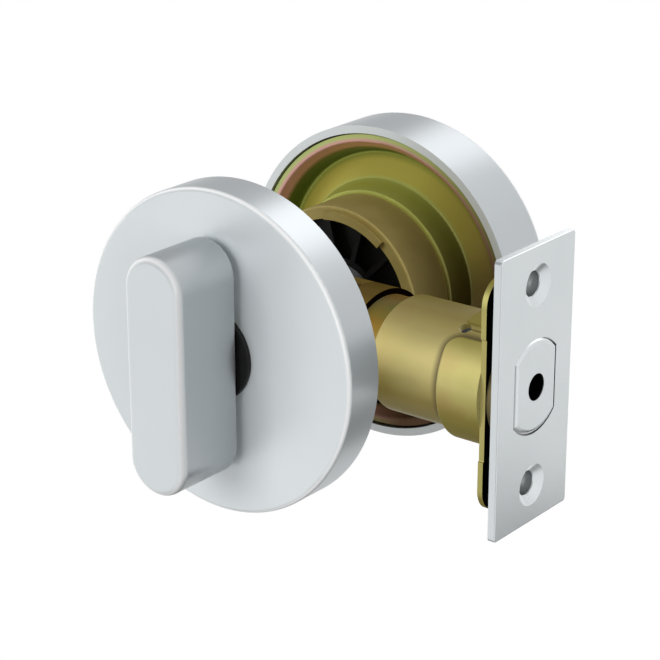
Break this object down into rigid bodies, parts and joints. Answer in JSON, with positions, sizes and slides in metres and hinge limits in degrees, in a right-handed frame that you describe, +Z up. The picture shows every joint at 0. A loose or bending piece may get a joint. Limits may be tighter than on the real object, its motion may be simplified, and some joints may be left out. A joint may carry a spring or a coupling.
{
  "type": "deadbolt lock",
  "caption": "Tubular deadbolt with a round thumbturn rose, a round keyed outer housing and a bolt that throws out through a door-edge faceplate.",
  "frame": {"origin": "centre of the faceplate's back face, where it seats in the door edge, on the bolt's axis", "axes": "+X out of the door edge along the bolt's throw, +Y through the door towards outdoors, +Z up"},
  "size_m": [0.0956, 0.087, 0.07],
  "materials": {
    "satin_chrome": "satin chrome plate",
    "yellow_zinc": "yellow dichromate zinc plate",
    "cast_zinc": "yellow dichromate on a zinc casting",
    "black_plastic": "moulded black",
    "cylinder_brass": "machined",
    "plain_steel": "bright zinc plate",
    "dark_steel": "hardened, dark"
  },
  "bodies": {
    "base": {"interior_rose": "satin_chrome", "interior_mounting_plate": "yellow_zinc", "rose_set_screw": "plain_steel", "mounting_screws": "plain_steel", "thumbturn_bush": "black_plastic", "thumbturn_washer": "plain_steel", "exterior_rose": "satin_chrome", "exterior_cup": "yellow_zinc", "cylinder_collar": "cast_zinc", "tailpiece_guide": "black_plastic", "cylinder_body": "cylinder_brass", "chamber_cap": "cylinder_brass", "driver_pins": "cylinder_brass", "pin_springs": "plain_steel", "faceplate": "satin_chrome", "faceplate_backing": "yellow_zinc", "bolt_sleeve": "yellow_zinc", "inner_tube": "yellow_zinc", "rear_case": "yellow_zinc"},
    "turn": {"thumbturn": "satin_chrome", "thumbturn_clip": "plain_steel", "tailpiece": "plain_steel", "crank": "plain_steel", "crank_pin": "plain_steel"},
    "bolt": {"bolt": "satin_chrome", "hardened_pin": "dark_steel", "bolt_tail": "plain_steel", "tail_rivet": "plain_steel"},
    "plug": {"key_plug": "cylinder_brass", "key_pins": "cylinder_brass", "plug_driver": "plain_steel"}
  },
  "joints": [
    {"name": "turn_hinge", "type": "hinge", "parent": "base", "child": "turn", "pos_m": [-0.0587, 0, 0], "axis": [0, 1, 0], "range_deg": [0, 90]},
    {"name": "bolt_slide", "type": "slide", "parent": "base", "child": "bolt", "axis": [1, 0, 0], "range_m": [0, 0.0254]},
    {"name": "plug_hinge", "type": "hinge", "parent": "base", "child": "plug", "pos_m": [-0.0587, 0, 0], "axis": [0, 1, 0], "range_deg": [-30, 30]}
  ],
  "couplings": [
    {"joint": "bolt_slide", "follows": "turn_hinge", "m_per_rad": 0.01617}
  ]
}
